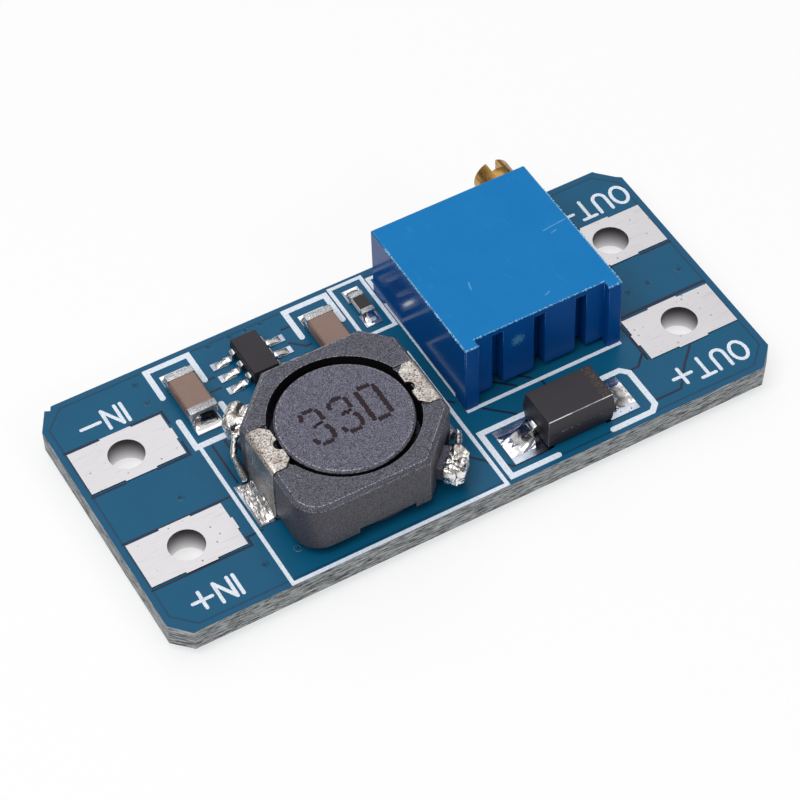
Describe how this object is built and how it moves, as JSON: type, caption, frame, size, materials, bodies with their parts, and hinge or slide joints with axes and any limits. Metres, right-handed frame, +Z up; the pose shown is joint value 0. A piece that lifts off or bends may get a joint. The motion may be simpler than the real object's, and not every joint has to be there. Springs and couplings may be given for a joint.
{
  "type": "boost converter module",
  "caption": "Small DC step-up converter board with plated wire terminals, a shielded inductor, a diode, ceramic capacitors and a multi-turn trimmer whose screw sets the output.",
  "frame": {"origin": "under the middle of the board, level with the tips of the trimmer's pins", "axes": "+X from the input terminals to the output terminals, +Y towards the side that the trimmer's screw points to, +Z up out of the component side"},
  "size_m": [0.036, 0.017, 0.0067],
  "materials": {
    "solder_mask": "blue solder mask over glass-fibre laminate, cut edges bare",
    "legend_ink": "white printed ink",
    "tinned_copper": "tinned copper, dull with fine scratches",
    "solder": "solder, bright and uneven",
    "ferrite": "dark grey speckled ferrite, matte",
    "copper_wire": "enamelled copper wire",
    "package": "moulded epoxy, dark",
    "capacitor_ceramic": "tan-brown fired ceramic",
    "resistor_ceramic": "white ceramic",
    "overcoat": "black glass overcoat",
    "trimmer_plastic": "blue moulded plastic, glossy sides",
    "brass": "turned brass",
    "seal_rubber": "rubber ring",
    "carriage_plastic": "pale moulded plastic",
    "spring_brass": "spring brass",
    "element_ceramic": "ceramic plate with a resistive track",
    "potting": "cast resin"
  },
  "bodies": {
    "module": {"circuit_board": "solder_mask", "legend_print": "legend_ink", "terminal_in_minus": "tinned_copper", "terminal_in_plus": "tinned_copper", "terminal_out_minus": "tinned_copper", "terminal_out_plus": "tinned_copper", "solder_lands": "tinned_copper", "inductor_ring": "ferrite", "inductor_drum_core": "ferrite", "inductor_winding": "copper_wire", "inductor_clip_right": "tinned_copper", "inductor_wire_end_right": "solder", "inductor_solder_right": "solder", "inductor_clip_left": "tinned_copper", "inductor_wire_end_left": "solder", "inductor_solder_left": "solder", "converter_chip_body": "package", "converter_chip_lead_1": "tinned_copper", "converter_chip_lead_2": "tinned_copper", "converter_chip_lead_3": "tinned_copper", "converter_chip_lead_4": "tinned_copper", "converter_chip_lead_5": "tinned_copper", "converter_chip_lead_6": "tinned_copper", "converter_chip_solder": "solder", "diode_body": "package", "diode_lead_cathode": "tinned_copper", "diode_solder_cathode": "solder", "diode_lead_anode": "tinned_copper", "diode_solder_anode": "solder", "input_capacitor_body": "capacitor_ceramic", "input_capacitor_end_front": "tinned_copper", "input_capacitor_end_back": "tinned_copper", "input_capacitor_solder": "solder", "output_capacitor_body": "capacitor_ceramic", "output_capacitor_end_front": "tinned_copper", "output_capacitor_end_back": "tinned_copper", "output_capacitor_solder": "solder", "resistor_body": "resistor_ceramic", "resistor_overcoat": "overcoat", "resistor_end_front": "tinned_copper", "resistor_end_back": "tinned_copper", "resistor_solder": "solder", "trimmer_housing": "trimmer_plastic", "trimmer_seal": "seal_rubber", "trimmer_element": "element_ceramic", "trimmer_potting": "potting", "trimmer_pin_1": "tinned_copper", "pin_joint_1": "solder", "trimmer_pin_2": "tinned_copper", "pin_joint_2": "solder", "trimmer_pin_3": "tinned_copper", "pin_joint_3": "solder"},
    "adjusting_screw": {"trimmer_screw": "brass"},
    "wiper_carriage": {"trimmer_carriage": "carriage_plastic", "trimmer_wiper": "spring_brass"}
  },
  "joints": [
    {"name": "carriage_slide", "type": "slide", "parent": "module", "child": "wiper_carriage", "axis": [0, 1, 0], "range_m": [-0.00225, 0.00225]},
    {"name": "screw_turn", "type": "hinge", "parent": "module", "child": "adjusting_screw", "pos_m": [0.01009, 0.00698, 0.00543], "axis": [0, 1, 0], "range_deg": [-4545, 4545]}
  ],
  "couplings": [
    {"joint": "screw_turn", "follows": "carriage_slide", "rad_per_m": -34907}
  ]
}
